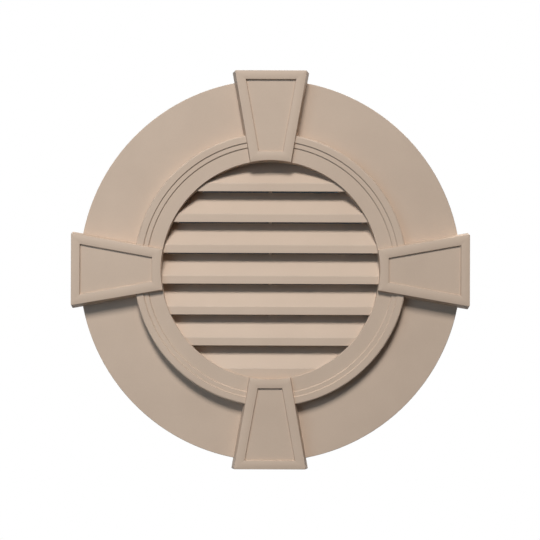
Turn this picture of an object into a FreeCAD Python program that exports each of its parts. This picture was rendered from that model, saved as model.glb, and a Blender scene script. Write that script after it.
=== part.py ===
import FreeCAD, Part
import os

import Sketcher

# Round louvred gable vent, moulded in one piece: a flat nailing flange, a raised ring with two fine
# steps, four keystones, a collar that goes into the wall, and sloping slats across the opening.
# Behind the slats an insect screen lies on the collar's ledge, held by melted stakes.
# Frame: +Z up, the front faces -Y, and the origin is at the vent's centre on the face of the wall.

SIZES = {
    # Moulded wall of the flange, ring, keystones and collar, and the draft of the collar's wall inside
    # the hollow ring and keystones
    "wall": 2.5,
    "hidden_draft_angle": 3.0,
    # Radius of the louvred opening, and the flat width of the flange outside the ring
    "opening_radius": 206.5,
    "flange_width": 103.1,
    "flange_edge_radius": 0.8,
    # Ring: height of its outer band over the flange, the draft of its outer wall, the widths of its three
    # bands from the inside, and the steps between them
    "ring_height": 22.0,
    "ring_draft_angle": 4.0,
    "wide_band": 28.8,
    "middle_band": 9.4,
    "outer_band": 13.6,
    "band_step": 2.2,
    "step_run": 1.9,
    "ring_edge_radius": 3.5,
    "opening_edge_radius": 1.0,
    # Keystones: rise over the outer band, overhang past the flange, widths of the face at its two ends,
    # drafts of the sides and of the outer end, and the rounding of the outer corners and the face
    "keystone_rise": 6.0,
    "keystone_overhang": 12.7,
    "keystone_outer_width": 135.7,
    "keystone_inner_width": 76.7,
    "keystone_draft_angle": 9.0,
    "keystone_end_draft_angle": 3.0,
    "keystone_corner_radius": 2.0,
    "keystone_edge_radius": 1.8,
    # Sunk panel of a keystone: margins at its ends, at its outer and inner corners, and its depth
    "panel_end_margin": 16.1,
    "panel_outer_margin": 17.0,
    "panel_inner_margin": 17.7,
    "panel_depth": 4.5,
    "panel_draft_angle": 15.0,
    # Crowned border round the panel: radius of the crown, and half the width that it is cut over
    "border_crown_radius": 50.0,
    "border_crown_half_width": 13.0,
    # Slats: spacing, front lip and its draft, depth from front to back, how far the lips lie behind the
    # ring, and how far the top slat rises past the opening
    "slat_pitch": 58.4,
    "slat_lip": 15.2,
    "slat_lip_draft_angle": 4.0,
    "slat_depth": 28.0,
    "slat_thickness": 2.5,
    "slat_setback": 4.7,
    "slat_bend_radius": 3.0,
    "slat_edge_radius": 0.8,
    "top_slat_cover": 0.9,
    # Upright rib that ties the slats together at the back
    "rib_width": 6.0,
    "rib_engagement": 3.0,
    # Ledge inside the collar's back edge, its gap to the slats, and the stakes that hold the screen
    "ledge_width": 8.0,
    "ledge_gap": 0.6,
    "stake_count": 12,
    "stake_radius": 1.5,
    "stake_head_radius": 3.2,
    "stake_head_height": 1.2,
    "stake_head_draft_angle": 40.0,
    # Insect screen
    "screen_thickness": 0.6,
    "screen_margin": 1.5,
    "screen_clearance": 0.2,
}
KEYSTONE_ANGLES = {"top": 0, "right": 90, "bottom": 180, "left": 270}
TOLERANCE = 0.001

document = FreeCAD.newDocument("gable_vent")
dims = document.addObject("Spreadsheet::Sheet", "dims")
for row, (alias, value) in enumerate(SIZES.items(), start=1):
    dims.set(f"A{row}", alias)
    dims.set(f"B{row}", str(value))
    dims.setAlias(f"B{row}", alias)
document.recompute()

# Radii from the middle outwards, as expressions of the sheet's sizes
opening = "dims.opening_radius"
collar_outside = "(dims.opening_radius + dims.wall)"
inner_step = "(dims.opening_radius + dims.wide_band)"
outer_step = "(dims.opening_radius + dims.wide_band + dims.middle_band)"
ring_outside = "(dims.opening_radius + dims.wide_band + dims.middle_band + dims.outer_band)"
ring_foot = f"({ring_outside} + dims.ring_height * tan(dims.ring_draft_angle))"
flange_rim = f"({ring_foot} + dims.flange_width)"
keystone_reach = f"({flange_rim} + dims.keystone_overhang)"
keystone_root = "(dims.opening_radius - dims.keystone_overhang)"
slat_reach = "(dims.opening_radius + dims.wall / 2)"
slat_span = f"(2 * {slat_reach})"
stake_circle = "(dims.opening_radius - dims.ledge_width / 2)"

# Heights in front of the wall, towards -Y
outer_band_face = "(dims.wall + dims.ring_height)"
middle_band_face = "(dims.wall + dims.ring_height - dims.band_step)"
wide_band_face = "(dims.wall + dims.ring_height - 2 * dims.band_step)"
keystone_face = "(dims.wall + dims.ring_height + dims.keystone_rise)"
keystone_ceiling = "(dims.ring_height + dims.keystone_rise)"
wide_band_ceiling = f"(dims.wall - {wide_band_face})"

# Radius past which nothing of a keystone reaches, whatever the draft of its outer end
beyond_keystone = f"({keystone_reach} + {keystone_face})"

# Depths along +Y of the slats, the ledge and the collar's back edge
slat_front = f"(dims.slat_setback - {wide_band_face})"
slat_back = f"({slat_front} + dims.slat_depth)"
ledge_front = f"({slat_back} + dims.ledge_gap)"
collar_back = f"({ledge_front} + dims.wall)"
louvre_depth = f"({collar_back} - {slat_front})"

# Slats: each one rises from its bend to the level of the lip above it
slat_rise = "(dims.slat_pitch - dims.slat_lip)"
top_bend = f"(dims.opening_radius + dims.top_slat_cover - {slat_rise})"
lip_lean = "(dims.slat_lip * tan(dims.slat_lip_draft_angle))"
slat_bend = f"({slat_front} + {lip_lean})"
slat_slope = f"({slat_rise} / (dims.slat_depth - {lip_lean}))"
slat_plumb_thickness = f"(dims.slat_thickness * sqrt(1 + {slat_slope} ^ 2))"

# Depth of the crown at its ends
crown_leg = "sqrt(dims.border_crown_radius ^ 2 - dims.border_crown_half_width ^ 2)"
crown_sag = f"(dims.border_crown_radius - {crown_leg})"


def number(expression):
    return float(dims.evalExpression(expression))


def add_body(name):
    return document.addObject("PartDesign::Body", name)


def add_sketch(body, name, role, offset="0"):
    sketch = body.newObject("Sketcher::SketchObject", name)
    plane = next(feature for feature in body.Origin.OriginFeatures if feature.Role == role)
    sketch.AttachmentSupport = (plane, [""])
    sketch.MapMode = "FlatFace"
    sketch.setExpression("AttachmentOffset.Base.z", offset)
    return sketch


def place_point(sketch, geometry, point, across, up):
    for kind, expression, axis in (("DistanceX", across, -2), ("DistanceY", up, -1)):
        if expression == "0":
            sketch.addConstraint(Sketcher.Constraint("PointOnObject", geometry, point, axis))
        else:
            distance = Sketcher.Constraint(kind, -1, 1, geometry, point, number(expression))
            index = sketch.addConstraint(distance)
            sketch.setExpression(f"Constraints[{index}]", expression)


def draw_outline(sketch, corners):
    points = [FreeCAD.Vector(number(across), number(up), 0) for across, up in corners]
    count = len(points)
    for index in range(count):
        sketch.addGeometry(Part.LineSegment(points[index], points[(index + 1) % count]))
    for index in range(count):
        sketch.addConstraint(Sketcher.Constraint("Coincident", index, 2, (index + 1) % count, 1))
    for index, (across, up) in enumerate(corners):
        place_point(sketch, index, 1, across, up)


def draw_circle(sketch, radius, up="0"):
    centre = FreeCAD.Vector(0, number(up), 0)
    geometry = sketch.addGeometry(Part.Circle(centre, FreeCAD.Vector(0, 0, 1), number(radius)))
    place_point(sketch, geometry, 3, "0", up)
    index = sketch.addConstraint(Sketcher.Constraint("Radius", geometry, number(radius)))
    sketch.setExpression(f"Constraints[{index}]", radius)


def draw_symmetric(sketch, low, high):
    low_half, low_up = low
    high_half, high_up = high
    draw_outline(sketch, [
        (f"-{low_half}", low_up),
        (low_half, low_up),
        (high_half, high_up),
        (f"-{high_half}", high_up),
    ])


# The space in front of a crowned strip: straight at its front and ends, with the crown behind it
def draw_over_crown(sketch, face, height):
    front = f"-({face} + {crown_sag})"
    foot = f"({crown_sag} - {face})"
    low = f"({height} - dims.border_crown_half_width)"
    high = f"({height} + dims.border_crown_half_width)"
    corners = [(foot, low), (front, low), (front, high), (foot, high)]
    points = [FreeCAD.Vector(number(across), number(up), 0) for across, up in corners]
    for start, end in zip(points, points[1:]):
        sketch.addGeometry(Part.LineSegment(start, end))
    summit = FreeCAD.Vector(-number(face), number(height), 0)
    crown = sketch.addGeometry(Part.Arc(points[3], summit, points[0]))
    for index in range(crown):
        sketch.addConstraint(Sketcher.Constraint("Coincident", index, 2, index + 1, 1))
        place_point(sketch, index, 1, *corners[index])
    sketch.addConstraint(Sketcher.Constraint("Coincident", crown, 2, 0, 1))
    place_point(sketch, crown, 1, *corners[3])
    index = sketch.addConstraint(Sketcher.Constraint("Radius", crown, number("dims.border_crown_radius")))
    sketch.setExpression(f"Constraints[{index}]", "dims.border_crown_radius")


def add_pad(body, name, sketch, length, taper="0", towards_back=False):
    pad = body.newObject("PartDesign::Pad", name)
    pad.Profile = sketch
    pad.Reversed = towards_back
    pad.setExpression("Length", length)
    pad.setExpression("TaperAngle", taper)
    document.recompute()
    return pad


def add_pocket(body, name, sketch, length, taper="0"):
    pocket = body.newObject("PartDesign::Pocket", name)
    pocket.Profile = sketch
    pocket.setExpression("Length", length)
    pocket.setExpression("TaperAngle", taper)
    document.recompute()
    return pocket


def add_fillet(body, name, base, radius, is_wanted):
    edges = [f"Edge{index}" for index, edge in enumerate(base.Shape.Edges, start=1) if is_wanted(edge)]
    fillet = body.newObject("PartDesign::Fillet", name)
    fillet.Base = (base, edges)
    fillet.setExpression("Radius", radius)
    document.recompute()
    return fillet


def add_ring_of(body, name, features, count):
    pattern = body.newObject("PartDesign::PolarPattern", name)
    pattern.Originals = features
    axis = next(feature for feature in body.Origin.OriginFeatures if feature.Role == "Y_Axis")
    pattern.Axis = (axis, [""])
    pattern.Angle = 360
    pattern.setExpression("Occurrences", count)
    body.Tip = pattern
    document.recompute()
    return pattern


def is_circle_at(edge, radius, depth):
    if not isinstance(edge.Curve, Part.Circle):
        return False
    return abs(edge.Curve.Radius - radius) < TOLERANCE and abs(edge.Curve.Center.y - depth) < TOLERANCE


def lies_at_depth(edge, depth):
    return all(abs(vertex.Y - depth) < TOLERANCE for vertex in edge.Vertexes)


def joins_depths(edge, front, back):
    depths = sorted(vertex.Y for vertex in edge.Vertexes)
    return abs(depths[0] - front) < TOLERANCE and abs(depths[-1] - back) < TOLERANCE


def lies_above(edge, height):
    return all(vertex.Z > height for vertex in edge.Vertexes)


def runs_along_x_at(edge, depth, height):
    vertices = edge.Vertexes
    return all(abs(v.Y - depth) < TOLERANCE and abs(v.Z - height) < TOLERANCE for v in vertices)


def keystone_half_width(radius):
    taper = "(dims.keystone_outer_width - dims.keystone_inner_width)"
    share = f"({radius} - {opening}) / ({keystone_reach} - {opening})"
    return f"((dims.keystone_inner_width + {taper} * {share}) / 2)"


# Flange, ring and collar: one section turned about the vent's axis. The ring is hollow at the back,
# and its inner wall runs on through the wall of the house as the collar, with a ledge at its end.
surround = add_body("surround")
section = add_sketch(surround, "surround_section", "XY_Plane")
draw_outline(section, [
    (flange_rim, "0"),
    (flange_rim, "-dims.wall"),
    (ring_foot, "-dims.wall"),
    (ring_outside, f"-{outer_band_face}"),
    (outer_step, f"-{outer_band_face}"),
    (f"{outer_step} - dims.step_run", f"-{middle_band_face}"),
    (inner_step, f"-{middle_band_face}"),
    (f"{inner_step} - dims.step_run", f"-{wide_band_face}"),
    (opening, f"-{wide_band_face}"),
    (opening, ledge_front),
    (f"{opening} - dims.ledge_width", ledge_front),
    (f"{opening} - dims.ledge_width", collar_back),
    (collar_outside, collar_back),
    (collar_outside, "0"),
    (f"{collar_outside} - {wide_band_ceiling} * tan(dims.hidden_draft_angle)", wide_band_ceiling),
    (f"{inner_step} - dims.step_run", wide_band_ceiling),
    (inner_step, f"dims.wall - {middle_band_face}"),
    (f"{outer_step} - dims.step_run", f"dims.wall - {middle_band_face}"),
    (outer_step, f"dims.wall - {outer_band_face}"),
    (f"{ring_outside} - dims.wall", f"dims.wall - {outer_band_face}"),
    (f"{ring_foot} - dims.wall", "0"),
])
turned = surround.newObject("PartDesign::Revolution", "surround_turned")
turned.Profile = section
turned.ReferenceAxis = (section, ["V_Axis"])
turned.Angle = 360
document.recompute()
outer_corner = (number(ring_outside), -number(outer_band_face))
ring_edge = add_fillet(surround, "ring_edge", turned, "dims.ring_edge_radius",
                       lambda edge: is_circle_at(edge, *outer_corner))
opening_corner = (number(opening), -number(wide_band_face))
opening_edge = add_fillet(surround, "opening_edge", ring_edge, "dims.opening_edge_radius",
                          lambda edge: is_circle_at(edge, *opening_corner))
rim_corner = (number(flange_rim), -number("dims.wall"))
add_fillet(surround, "flange_edge", opening_edge, "dims.flange_edge_radius",
           lambda edge: is_circle_at(edge, *rim_corner))

# Stakes on the ledge: a shank through the screen and a head that was melted down over it
shank_sketch = add_sketch(surround, "stake_shank_outline", "XZ_Plane", f"-{collar_back}")
draw_circle(shank_sketch, "dims.stake_radius", stake_circle)
shank = add_pad(surround, "stake_shank", shank_sketch, "dims.screen_thickness", towards_back=True)
head_sketch = add_sketch(surround, "stake_head_outline", "XZ_Plane",
                         f"-{collar_back} - dims.screen_thickness")
draw_circle(head_sketch, "dims.stake_head_radius", stake_circle)
head = add_pad(surround, "stake_head", head_sketch, "dims.stake_head_height",
               "-dims.stake_head_draft_angle", towards_back=True)
add_ring_of(surround, "stakes", [shank, head], "dims.stake_count")


# Cuts the outer end of a keystone or of its hollow to its own, steeper draft
def trim_end(body, name, height, radius):
    sketch = add_sketch(body, f"{name}_outline", "XZ_Plane", height)
    well_past_sides = "dims.keystone_outer_width"
    draw_symmetric(sketch, (well_past_sides, radius), (well_past_sides, beyond_keystone))
    return add_pocket(body, name, sketch, height, "-dims.keystone_end_draft_angle")


# Cuts the border of a keystone's face to a low crown, which is mitred at the corners
def crown_border(body, name):
    path = add_sketch(body, f"border_{name}", "XZ_Plane", keystone_face)
    low = f"({opening} + dims.panel_end_margin / 2)"
    high = f"({keystone_reach} - dims.panel_end_margin / 2)"
    low_half = f"({keystone_half_width(low)} - dims.panel_inner_margin / 2)"
    high_half = f"({keystone_half_width(high)} - dims.panel_outer_margin / 2)"
    corners = [
        ("0", high),
        (high_half, high),
        (low_half, low),
        (f"-{low_half}", low),
        (f"-{high_half}", high),
    ]
    draw_outline(path, corners)
    over_crown = add_sketch(body, f"crown_{name}", "YZ_Plane")
    draw_over_crown(over_crown, keystone_face, high)
    crown = body.newObject("PartDesign::SubtractivePipe", f"crowned_{name}")
    crown.Profile = over_crown
    crown.Spine = (path, [f"Edge{index}" for index in range(1, len(corners) + 1)])
    crown.Transition = "Right corner"
    document.recompute()


# One keystone as a full block, from its face back to the wall, trimmed to the opening
def make_keystone_block(name, angle):
    body = add_body(f"keystone_block_{name}")
    face_sketch = add_sketch(body, f"face_{name}", "XZ_Plane", keystone_face)
    draw_symmetric(face_sketch, (keystone_half_width(keystone_root), keystone_root),
                   ("dims.keystone_outer_width / 2", keystone_reach))
    add_pad(body, f"block_{name}", face_sketch, keystone_face, "dims.keystone_draft_angle",
            towards_back=True)
    squared = trim_end(body, f"end_{name}", keystone_face, keystone_reach)
    face_depth = -number(keystone_face)
    rim_radius = number(flange_rim)
    add_fillet(body, f"corners_{name}", squared, "dims.keystone_corner_radius",
               lambda edge: joins_depths(edge, face_depth, 0) and lies_above(edge, rim_radius))
    bore_sketch = add_sketch(body, f"bore_{name}", "XZ_Plane", keystone_face)
    draw_circle(bore_sketch, opening)
    trimmed = add_pocket(body, f"trimmed_{name}", bore_sketch, keystone_face)
    add_fillet(body, f"rounded_{name}", trimmed, "dims.keystone_edge_radius",
               lambda edge: lies_at_depth(edge, face_depth))
    crown_border(body, name)
    panel_sketch = add_sketch(body, f"panel_{name}", "XZ_Plane", keystone_face)
    panel_low = f"({opening} + dims.panel_end_margin)"
    panel_high = f"({keystone_reach} - dims.panel_end_margin)"
    draw_symmetric(panel_sketch,
                   (f"({keystone_half_width(panel_low)} - dims.panel_inner_margin)", panel_low),
                   (f"({keystone_half_width(panel_high)} - dims.panel_outer_margin)", panel_high))
    add_pocket(body, f"sunk_{name}", panel_sketch, "dims.panel_depth", "-dims.panel_draft_angle")
    body.Placement = FreeCAD.Placement(FreeCAD.Vector(), FreeCAD.Rotation(FreeCAD.Vector(0, 1, 0), angle))
    return body


# The hollow behind one keystone: it leaves a wall all round, a wall behind the sunk panel, and a rib
# along the middle
def make_keystone_core(name, angle):
    body = add_body(f"keystone_core_{name}")
    core_sketch = add_sketch(body, f"core_outline_{name}", "XZ_Plane", keystone_ceiling)
    core_high = f"({keystone_reach} - dims.wall)"
    draw_symmetric(core_sketch, (f"({keystone_half_width(keystone_root)} - dims.wall)", keystone_root),
                   (f"({keystone_half_width(core_high)} - dims.wall)", core_high))
    add_pad(body, f"core_{name}", core_sketch, keystone_ceiling, "dims.keystone_draft_angle",
            towards_back=True)
    trim_end(body, f"core_end_{name}", keystone_ceiling, core_high)
    collar_sketch = add_sketch(body, f"collar_{name}", "XZ_Plane", keystone_ceiling)
    draw_circle(collar_sketch, f"({collar_outside} + {keystone_ceiling} * tan(dims.hidden_draft_angle))")
    add_pocket(body, f"collar_kept_{name}", collar_sketch, keystone_ceiling, "-dims.hidden_draft_angle")
    backing_sketch = add_sketch(body, f"backing_{name}", "XZ_Plane", keystone_ceiling)
    backing_low = f"({opening} + dims.panel_end_margin - dims.wall)"
    backing_high = f"({keystone_reach} - dims.panel_end_margin + dims.wall)"
    backing_inner = f"({keystone_half_width(backing_low)} - dims.panel_inner_margin + dims.wall)"
    backing_outer = f"({keystone_half_width(backing_high)} - dims.panel_outer_margin + dims.wall)"
    draw_symmetric(backing_sketch, (backing_inner, backing_low), (backing_outer, backing_high))
    add_pocket(body, f"backing_kept_{name}", backing_sketch, "dims.panel_depth")
    rib_sketch = add_sketch(body, f"rib_{name}", "XZ_Plane", keystone_ceiling)
    rib_half = "(dims.wall / 2)"
    draw_symmetric(rib_sketch, (rib_half, keystone_root), (rib_half, beyond_keystone))
    add_pocket(body, f"rib_kept_{name}", rib_sketch, keystone_ceiling)
    body.Placement = FreeCAD.Placement(FreeCAD.Vector(), FreeCAD.Rotation(FreeCAD.Vector(0, 1, 0), angle))
    return body


blocks = [make_keystone_block(name, angle) for name, angle in KEYSTONE_ANGLES.items()]
cores = [make_keystone_core(name, angle) for name, angle in KEYSTONE_ANGLES.items()]

# Louvre: an upright rib at the back, the slats, and under the last slat a sill down to the collar.
# As many slats are used as the opening takes.
louvre = add_body("louvre")
rib_sketch = add_sketch(louvre, "rib_outline", "YZ_Plane")
rib_front = f"({slat_back} - dims.rib_engagement)"
draw_outline(rib_sketch, [
    (rib_front, f"-{slat_reach}"),
    (collar_back, f"-{slat_reach}"),
    (collar_back, slat_reach),
    (rib_front, slat_reach),
])
rib = add_pad(louvre, "rib", rib_sketch, "dims.rib_width")
rib.SideType = "Symmetric"

slat_sketch = add_sketch(louvre, "slat_outline", "YZ_Plane")
slat_inner_face = f"({slat_front} + dims.slat_thickness)"
draw_outline(slat_sketch, [
    (slat_bend, top_bend),
    (slat_front, f"{top_bend} - dims.slat_lip"),
    (slat_inner_face, f"{top_bend} - dims.slat_lip"),
    (f"({slat_bend} + dims.slat_thickness)",
     f"{top_bend} + dims.slat_thickness * {slat_slope} - {slat_plumb_thickness}"),
    (slat_back, f"{top_bend} + {slat_rise} - {slat_plumb_thickness}"),
    (slat_back, f"{top_bend} + {slat_rise}"),
])
slat = add_pad(louvre, "slat", slat_sketch, slat_span)
slat.SideType = "Symmetric"
slat_count = 1 + int(number(f"({top_bend} + {opening} - dims.slat_bend_radius) / dims.slat_pitch"))
slats = louvre.newObject("PartDesign::LinearPattern", "slats")
slats.Originals = [slat]
slats.Direction = (slat_sketch, ["V_Axis"])
slats.Reversed = True
slats.Mode = "Spacing"
slats.setExpression("Offset", "dims.slat_pitch")
slats.Occurrences = slat_count
louvre.Tip = slats
document.recompute()

bend_heights = [number(top_bend) - index * number("dims.slat_pitch") for index in range(slat_count)]
lip_heights = [height - number("dims.slat_lip") for height in bend_heights]
bends = add_fillet(louvre, "slat_bends", slats, "dims.slat_bend_radius", lambda edge: any(
    runs_along_x_at(edge, number(slat_bend), height) for height in bend_heights))
lip_faces = (number(slat_front), number(slat_inner_face))
lips = add_fillet(louvre, "slat_lip_edges", bends, "dims.slat_edge_radius", lambda edge: any(
    runs_along_x_at(edge, depth, height) for depth in lip_faces for height in lip_heights))

sill_sketch = add_sketch(louvre, "sill_outline", "YZ_Plane")
last_lip = f"({top_bend} - {slat_count - 1} * dims.slat_pitch - dims.slat_lip)"
sill_top = f"({last_lip} + 2 * dims.slat_edge_radius)"
draw_outline(sill_sketch, [
    (slat_front, f"-{slat_reach}"),
    (slat_inner_face, f"-{slat_reach}"),
    (slat_inner_face, sill_top),
    (slat_front, sill_top),
])
sill = add_pad(louvre, "sill", sill_sketch, slat_span)
sill.SideType = "Symmetric"
trim_sketch = add_sketch(louvre, "louvre_trim", "XZ_Plane")
draw_circle(trim_sketch, slat_reach)
draw_circle(trim_sketch, slat_span)
trim = add_pocket(louvre, "louvre_trimmed", trim_sketch, f"2 * {louvre_depth}")
trim.SideType = "Symmetric"
document.recompute()

# The whole moulding
raised = document.addObject("Part::MultiFuse", "raised_front")
raised.Shapes = [surround] + blocks
hollows = document.addObject("Part::MultiFuse", "hollows")
hollows.Shapes = cores
hollowed = document.addObject("Part::Cut", "hollowed_front")
hollowed.Base = raised
hollowed.Tool = hollows
vent_body = document.addObject("Part::MultiFuse", "moulding")
vent_body.Shapes = [hollowed, louvre]
vent_body.Label = "vent_body"
document.recompute()

# Insect screen: a disc of woven mesh, shown as its sheet, with a hole for each stake
insect_screen = add_body("screen")
insect_screen.Label = "insect_screen"
sheet_sketch = add_sketch(insect_screen, "screen_outline", "XZ_Plane", f"-{collar_back}")
draw_circle(sheet_sketch, f"({collar_outside} - dims.screen_margin)")
add_pad(insect_screen, "screen_sheet", sheet_sketch, "dims.screen_thickness", towards_back=True)
hole_sketch = add_sketch(insect_screen, "screen_hole", "XZ_Plane", f"-{collar_back}")
draw_circle(hole_sketch, "(dims.stake_radius + dims.screen_clearance)", stake_circle)
hole = add_pocket(insect_screen, "stake_hole", hole_sketch, "dims.screen_thickness")
add_ring_of(insect_screen, "stake_holes", [hole], "dims.stake_count")

for item in document.Objects:
    if "Invalid" in item.State or "Error" in item.State:
        raise RuntimeError(f"{item.Label} did not build: {item.State}")
nodes = [vent_body, insect_screen]
for node in nodes:
    if node.Shape.isNull() or not node.Shape.isValid():
        raise RuntimeError(f"{node.Label} has no valid shape")
    if len(node.Shape.Solids) != 1:
        raise RuntimeError(f"{node.Label} is not one solid")

os.makedirs("parts", exist_ok=True)
for node in nodes:
    node.Shape.exportStep(f"parts/{node.Label}.step")
    box = node.Shape.optimalBoundingBox()
    print(f"{node.Label}: volume {node.Shape.Volume:.0f} mm3, faces {len(node.Shape.Faces)}, "
          f"size {box.XLength:.2f} x {box.YLength:.2f} x {box.ZLength:.2f} mm")
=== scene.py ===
import math

import bpy
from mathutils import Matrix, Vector


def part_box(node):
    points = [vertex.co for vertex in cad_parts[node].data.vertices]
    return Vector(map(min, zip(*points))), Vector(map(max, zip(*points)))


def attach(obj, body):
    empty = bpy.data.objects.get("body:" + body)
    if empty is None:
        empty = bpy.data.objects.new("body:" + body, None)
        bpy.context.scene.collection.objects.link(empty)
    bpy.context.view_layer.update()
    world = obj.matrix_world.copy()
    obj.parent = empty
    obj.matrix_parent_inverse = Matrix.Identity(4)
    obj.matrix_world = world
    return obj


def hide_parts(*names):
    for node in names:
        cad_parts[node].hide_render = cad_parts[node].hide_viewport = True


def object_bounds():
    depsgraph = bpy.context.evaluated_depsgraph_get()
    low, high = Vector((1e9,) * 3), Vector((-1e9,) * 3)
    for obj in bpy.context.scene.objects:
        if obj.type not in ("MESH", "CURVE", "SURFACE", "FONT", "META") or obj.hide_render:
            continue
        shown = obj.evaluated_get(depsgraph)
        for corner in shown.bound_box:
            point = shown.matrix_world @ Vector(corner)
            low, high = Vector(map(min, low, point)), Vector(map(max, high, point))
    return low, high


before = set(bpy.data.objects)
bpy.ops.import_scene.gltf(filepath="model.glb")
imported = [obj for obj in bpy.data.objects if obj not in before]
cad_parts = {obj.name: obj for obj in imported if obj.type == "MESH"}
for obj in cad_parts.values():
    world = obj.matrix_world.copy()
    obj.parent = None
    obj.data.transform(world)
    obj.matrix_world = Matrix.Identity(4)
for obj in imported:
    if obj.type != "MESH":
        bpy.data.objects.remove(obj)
cad_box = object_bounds()

# Vent body: flange, stepped ring, keystones, collar and slats in one injection moulding of
# solid-coloured clay tan plastic. The tool's fine spark-eroded finish leaves it matte all over,
# and the pigment is a little uneven, as it is in every batch.
CLAY_LIGHT = (0.562, 0.425, 0.321, 1.0)
CLAY_DARK = (0.523, 0.393, 0.296, 1.0)
FLECK_SHARE = 0.35
SMOOTHEST_FINISH = 0.49
ROUGHEST_FINISH = 0.61
CLAY_GLOSS = 0.3
GRAIN_HEIGHT = 0.00006


def add_node(tree, kind, label, **settings):
    node = tree.nodes.new(kind)
    node.label = label
    for name, value in settings.items():
        if name in node.inputs:
            node.inputs[name].default_value = value
        else:
            setattr(node, name, value)
    return node


def add_tones(tree, label, stops):
    tones = add_node(tree, "ShaderNodeValToRGB", label)
    for element, (position, colour) in zip(tones.color_ramp.elements, stops):
        element.position = position
        element.color = colour
    return tones


def start_material(name):
    material = bpy.data.materials.new(name)
    material.use_nodes = True
    tree = material.node_tree
    shader = tree.nodes["Principled BSDF"]
    return material, tree, shader


clay_plastic, tree, shader = start_material("clay_plastic")
place = add_node(tree, "ShaderNodeTexCoord", "place on the moulding")
clouds = add_node(tree, "ShaderNodeTexNoise", "pigment clouds",
                  Scale=9.0, Detail=3.0, Roughness=0.55)
flecks = add_node(tree, "ShaderNodeTexNoise", "pigment flecks",
                  Scale=520.0, Detail=2.0, Roughness=0.5)
tree.links.new(place.outputs["Object"], clouds.inputs["Vector"])
tree.links.new(place.outputs["Object"], flecks.inputs["Vector"])
pigment = add_node(tree, "ShaderNodeMath", "clouds and flecks", operation="MULTIPLY_ADD")
pigment.inputs[1].default_value = FLECK_SHARE
tree.links.new(flecks.outputs["Fac"], pigment.inputs[0])
tree.links.new(clouds.outputs["Fac"], pigment.inputs[2])
tone = add_tones(tree, "clay tones", ((0.45, CLAY_DARK), (0.9, CLAY_LIGHT)))
tree.links.new(pigment.outputs["Value"], tone.inputs["Fac"])
tree.links.new(tone.outputs["Color"], shader.inputs["Base Color"])

polish = add_node(tree, "ShaderNodeTexNoise", "uneven polish of the tool", Scale=38.0, Detail=2.0)
tree.links.new(place.outputs["Object"], polish.inputs["Vector"])
sheen_range = add_node(tree, "ShaderNodeMapRange", "roughness")
sheen_range.inputs["To Min"].default_value = SMOOTHEST_FINISH
sheen_range.inputs["To Max"].default_value = ROUGHEST_FINISH
tree.links.new(polish.outputs["Fac"], sheen_range.inputs["Value"])
tree.links.new(sheen_range.outputs["Result"], shader.inputs["Roughness"])

grain = add_node(tree, "ShaderNodeTexNoise", "spark-eroded grain",
                 Scale=1500.0, Detail=2.0, Roughness=0.6)
tree.links.new(place.outputs["Object"], grain.inputs["Vector"])
relief = add_node(tree, "ShaderNodeBump", "grain relief", Strength=0.22, Distance=GRAIN_HEIGHT)
tree.links.new(grain.outputs["Fac"], relief.inputs["Height"])
tree.links.new(relief.outputs["Normal"], shader.inputs["Normal"])
shader.inputs["Specular IOR Level"].default_value = CLAY_GLOSS

vent_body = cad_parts["vent_body"]
vent_body.data.materials.clear()
vent_body.data.materials.append(clay_plastic)

# Insect screen: glass-fibre yarns coated with charcoal vinyl and fused where they cross, cut to a
# disc, pushed over the stakes on the collar's ledge and held there by their melted heads.
YARN_RADIUS = 0.00015
WARP_PITCH = 0.00141
WEFT_PITCH = 0.00159
YARN_SMOOTH_ANGLE = math.radians(65)
VINYL_DARK = (0.022, 0.022, 0.024, 1.0)
VINYL_LIGHT = (0.042, 0.042, 0.045, 1.0)
screen_low, screen_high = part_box("insect_screen")
screen_radius = screen_high.x
screen_middle = (screen_low.y + screen_high.y) / 2


def lay_yarns(name, pitch, layer, turn):
    count = 2 * int((screen_radius - pitch) / pitch) + 1
    bpy.ops.object.select_all(action="DESELECT")
    bpy.ops.mesh.primitive_cylinder_add(vertices=6, radius=YARN_RADIUS, depth=2 * screen_radius)
    yarns = bpy.context.active_object
    yarns.name = name
    yarns.location = (-(count - 1) / 2 * pitch, 0, 0)
    bpy.ops.object.transform_apply(location=True, rotation=True, scale=True)
    rows = yarns.modifiers.new("rows", "ARRAY")
    rows.use_relative_offset = False
    rows.use_constant_offset = True
    rows.constant_offset_displace = (pitch, 0, 0)
    rows.count = count
    bpy.ops.object.modifier_apply(modifier=rows.name)
    # Each yarn is cut off at the disc's edge.
    for vertex in yarns.data.vertices:
        reach = math.sqrt(max(screen_radius ** 2 - vertex.co.x ** 2, 0))
        vertex.co.z = math.copysign(reach, vertex.co.z)
    yarns.rotation_euler = (0, math.radians(turn), 0)
    yarns.location = (0, layer, 0)
    bpy.ops.object.transform_apply(location=True, rotation=True, scale=True)
    return yarns


insect_screen = lay_yarns("insect_screen_mesh", WARP_PITCH, screen_middle - YARN_RADIUS, turn=0)
weft = lay_yarns("insect_screen_weft", WEFT_PITCH, screen_middle + YARN_RADIUS, turn=90)
bpy.ops.object.select_all(action="DESELECT")
weft.select_set(True)
insect_screen.select_set(True)
bpy.context.view_layer.objects.active = insect_screen
bpy.ops.object.join()
bpy.ops.object.shade_smooth_by_angle(angle=YARN_SMOOTH_ANGLE)

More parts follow.
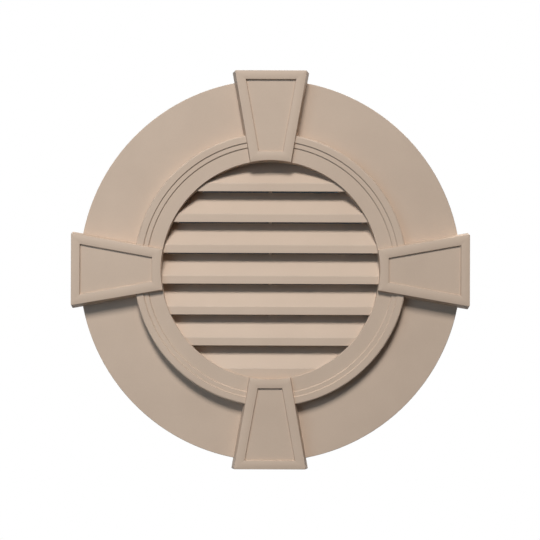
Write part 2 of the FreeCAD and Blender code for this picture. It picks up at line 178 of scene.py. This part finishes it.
charcoal_vinyl, tree, shader = start_material("charcoal_vinyl")
place = add_node(tree, "ShaderNodeTexCoord", "place on the screen")
coating = add_node(tree, "ShaderNodeTexNoise", "thin and thick coating", Scale=240.0, Detail=3.0)
tree.links.new(place.outputs["Object"], coating.inputs["Vector"])
tone = add_tones(tree, "charcoal tones", ((0.3, VINYL_DARK), (0.75, VINYL_LIGHT)))
tree.links.new(coating.outputs["Fac"], tone.inputs["Fac"])
tree.links.new(tone.outputs["Color"], shader.inputs["Base Color"])
shader.inputs["Roughness"].default_value = 0.5
insect_screen.data.materials.clear()
insect_screen.data.materials.append(charcoal_vinyl)
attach(insect_screen, "root")
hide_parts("insect_screen")

# Studio: a pale floor well below the vent, which hangs as on a gable, and a white backdrop far
# behind. A card glowing faintly dark hangs behind the screen as painted shade for the dark loft;
# only the camera sees it, and only from the front.
STAGE_SIZE = 16
FLOOR_HEIGHT = -2.5
BACKDROP_DISTANCE = 4.0
PAPER = (0.8, 0.8, 0.8, 1.0)
PAPER_ROUGHNESS = 0.9
FLOOR_BOUNCE = (0.2, 0.2, 0.2, 1.0)
FLOOR_PALENESS = 0.32
WHITE = (1.0, 1.0, 1.0, 1.0)
# Painted shade: the faint glow of the card behind the screen, standing in for the unlit loft.
PAINTED_LOFT_SHADE = (0.036, 0.042, 0.048, 1.0)
CARD_INSET = 0.006
CARD_GAP = 0.002
UPRIGHT = (math.radians(90), 0, 0)


def add_looked_at(tree):
    path = add_node(tree, "ShaderNodeLightPath", "who looks")
    seen = add_node(tree, "ShaderNodeMath", "camera or gloss", operation="MAXIMUM")
    tree.links.new(path.outputs["Is Camera Ray"], seen.inputs[0])
    tree.links.new(path.outputs["Is Glossy Ray"], seen.inputs[1])
    looked_at = add_node(tree, "ShaderNodeMath", "or glass", operation="MAXIMUM")
    tree.links.new(seen.outputs["Value"], looked_at.inputs[0])
    tree.links.new(path.outputs["Is Transmission Ray"], looked_at.inputs[1])
    return looked_at.outputs["Value"]


def choose(tree, label, looked_at, otherwise, shown, output):
    choice = add_node(tree, "ShaderNodeMixShader", label)
    tree.links.new(looked_at, choice.inputs["Fac"])
    tree.links.new(otherwise, choice.inputs[1])
    tree.links.new(shown, choice.inputs[2])
    tree.links.new(choice.outputs["Shader"], tree.nodes[output].inputs["Surface"])


def add_stage_plane(name, location, rotation):
    bpy.ops.object.select_all(action="DESELECT")
    bpy.ops.mesh.primitive_plane_add(size=STAGE_SIZE, location=location, rotation=rotation)
    plane = bpy.context.active_object
    plane.name = name
    return plane


floor = add_stage_plane("studio_floor", (0, 0, FLOOR_HEIGHT), (0, 0, 0))
pale_floor, tree, shader = start_material("pale_floor")
shader.inputs["Base Color"].default_value = PAPER
shader.inputs["Roughness"].default_value = PAPER_ROUGHNESS
shader.inputs["Emission Color"].default_value = WHITE
shader.inputs["Emission Strength"].default_value = FLOOR_PALENESS
bounce = add_node(tree, "ShaderNodeBsdfDiffuse", "what the floor throws back", Color=FLOOR_BOUNCE)
choose(tree, "pale or thrown back", add_looked_at(tree),
       bounce.outputs["BSDF"], shader.outputs["BSDF"], "Material Output")
floor.data.materials.append(pale_floor)

backdrop = add_stage_plane("studio_backdrop", (0, BACKDROP_DISTANCE, 0), UPRIGHT)
white_backdrop, tree, shader = start_material("white_backdrop")
shader.inputs["Base Color"].default_value = PAPER
shader.inputs["Roughness"].default_value = PAPER_ROUGHNESS
white = add_node(tree, "ShaderNodeEmission", "white", Color=WHITE, Strength=1.0)
choose(tree, "white or paper", add_looked_at(tree),
       shader.outputs["BSDF"], white.outputs["Emission"], "Material Output")
backdrop.data.materials.append(white_backdrop)

bpy.ops.object.select_all(action="DESELECT")
bpy.ops.mesh.primitive_circle_add(vertices=64, radius=screen_radius - CARD_INSET,
                                  fill_type="NGON", rotation=UPRIGHT,
                                  location=(0, cad_box[1].y + CARD_GAP, 0))
painted_shade_card = bpy.context.active_object
painted_shade_card.name = "painted_shade_card"
painted_shade_material, tree, shader = start_material("painted_shade_material")
tree.nodes.remove(shader)
path = add_node(tree, "ShaderNodeLightPath", "who looks")
side = add_node(tree, "ShaderNodeNewGeometry", "which side")
front = add_node(tree, "ShaderNodeMath", "front side", operation="SUBTRACT")
front.inputs[0].default_value = 1.0
tree.links.new(side.outputs["Backfacing"], front.inputs[1])
shown = add_node(tree, "ShaderNodeMath", "seen from the front", operation="MULTIPLY")
tree.links.new(path.outputs["Is Camera Ray"], shown.inputs[0])
tree.links.new(front.outputs["Value"], shown.inputs[1])
clear = add_node(tree, "ShaderNodeBsdfTransparent", "clear")
# The card's faint dark glow is painted shade for the unlit loft, not a lamp and not a real part.
dark = add_node(tree, "ShaderNodeEmission", "dark", Color=PAINTED_LOFT_SHADE, Strength=1.0)
choose(tree, "clear or dark", shown.outputs["Value"],
       clear.outputs["BSDF"], dark.outputs["Emission"], "Material Output")
painted_shade_card.data.materials.append(painted_shade_material)

# Light: one large softbox high in front, far enough off to light the vent evenly, a weak cool fill
# from the left, a panel high behind on the right for the vent's back and right side, and a faint
# cool sky.
PLAIN_WHITE = (1.0, 1.0, 1.0)
COOL_WHITE = (0.55, 0.78, 1.0)
SKY_LEVEL = 0.01


def add_softbox(name, position, target, width, spread, watts, tint):
    lamp = bpy.data.lights.new(name, "AREA")
    lamp.shape = "SQUARE"
    lamp.size = width
    lamp.spread = math.radians(spread)
    lamp.energy = watts
    lamp.color = tint
    softbox = bpy.data.objects.new(name, lamp)
    bpy.context.scene.collection.objects.link(softbox)
    softbox.location = position
    aim = Vector(target) - Vector(position)
    softbox.rotation_euler = aim.to_track_quat("-Z", "Y").to_euler()


add_softbox("key_softbox", position=(-0.61, -5.94, 5.37), target=(-1.1, 0, -0.2),
            width=2.33, spread=90, watts=165, tint=PLAIN_WHITE)
add_softbox("fill_softbox", position=(-2.1, -2.9, 0.3), target=(0, 0, 0),
            width=2.0, spread=120, watts=12.0, tint=COOL_WHITE)
add_softbox("back_panel", position=(1.9, 1.7, 2.6), target=(0, 0, 0),
            width=1.6, spread=70, watts=15, tint=PLAIN_WHITE)

world = bpy.data.worlds.new("studio_air")
bpy.context.scene.world = world
world.use_nodes = True
tree = world.node_tree
sky = tree.nodes["Background"]
sky.inputs["Color"].default_value = (*COOL_WHITE, 1)
sky.inputs["Strength"].default_value = SKY_LEVEL
seen_sky = add_node(tree, "ShaderNodeBackground", "white where it is seen",
                    Color=WHITE, Strength=1.0)
choose(tree, "white or sky", add_looked_at(tree),
       sky.outputs["Background"], seen_sky.outputs["Background"], "World Output")

# Camera: level, a little below and left of the vent's middle, turned by a fifth of a degree as it
# was held, with the lens shifted to frame the vent.
CAMERA_PLACE = (-0.025, -2.5305, -0.115)
CAMERA_ROLL = math.radians(-0.195)
KEYSTONE_FACE = -0.0305
FRAME_WIDTH_AT_KEYSTONES = 1.016
FRAME_MIDDLE_X = -0.0004
FRAME_MIDDLE_Z = -0.0005
SENSOR_WIDTH = 36.0
lens_distance = KEYSTONE_FACE - CAMERA_PLACE[1]
camera_data = bpy.data.cameras.new("photo_camera")
camera_data.sensor_width = SENSOR_WIDTH
camera_data.lens = SENSOR_WIDTH * lens_distance / FRAME_WIDTH_AT_KEYSTONES
camera_data.shift_x = (FRAME_MIDDLE_X - CAMERA_PLACE[0]) / FRAME_WIDTH_AT_KEYSTONES
camera_data.shift_y = (FRAME_MIDDLE_Z - CAMERA_PLACE[2]) / FRAME_WIDTH_AT_KEYSTONES
camera = bpy.data.objects.new("photo_camera", camera_data)
bpy.context.scene.collection.objects.link(camera)
camera.location = CAMERA_PLACE
camera.rotation_euler = (math.radians(90), CAMERA_ROLL, 0)
bpy.context.scene.camera = camera
bpy.context.scene.view_settings.view_transform = "Standard"
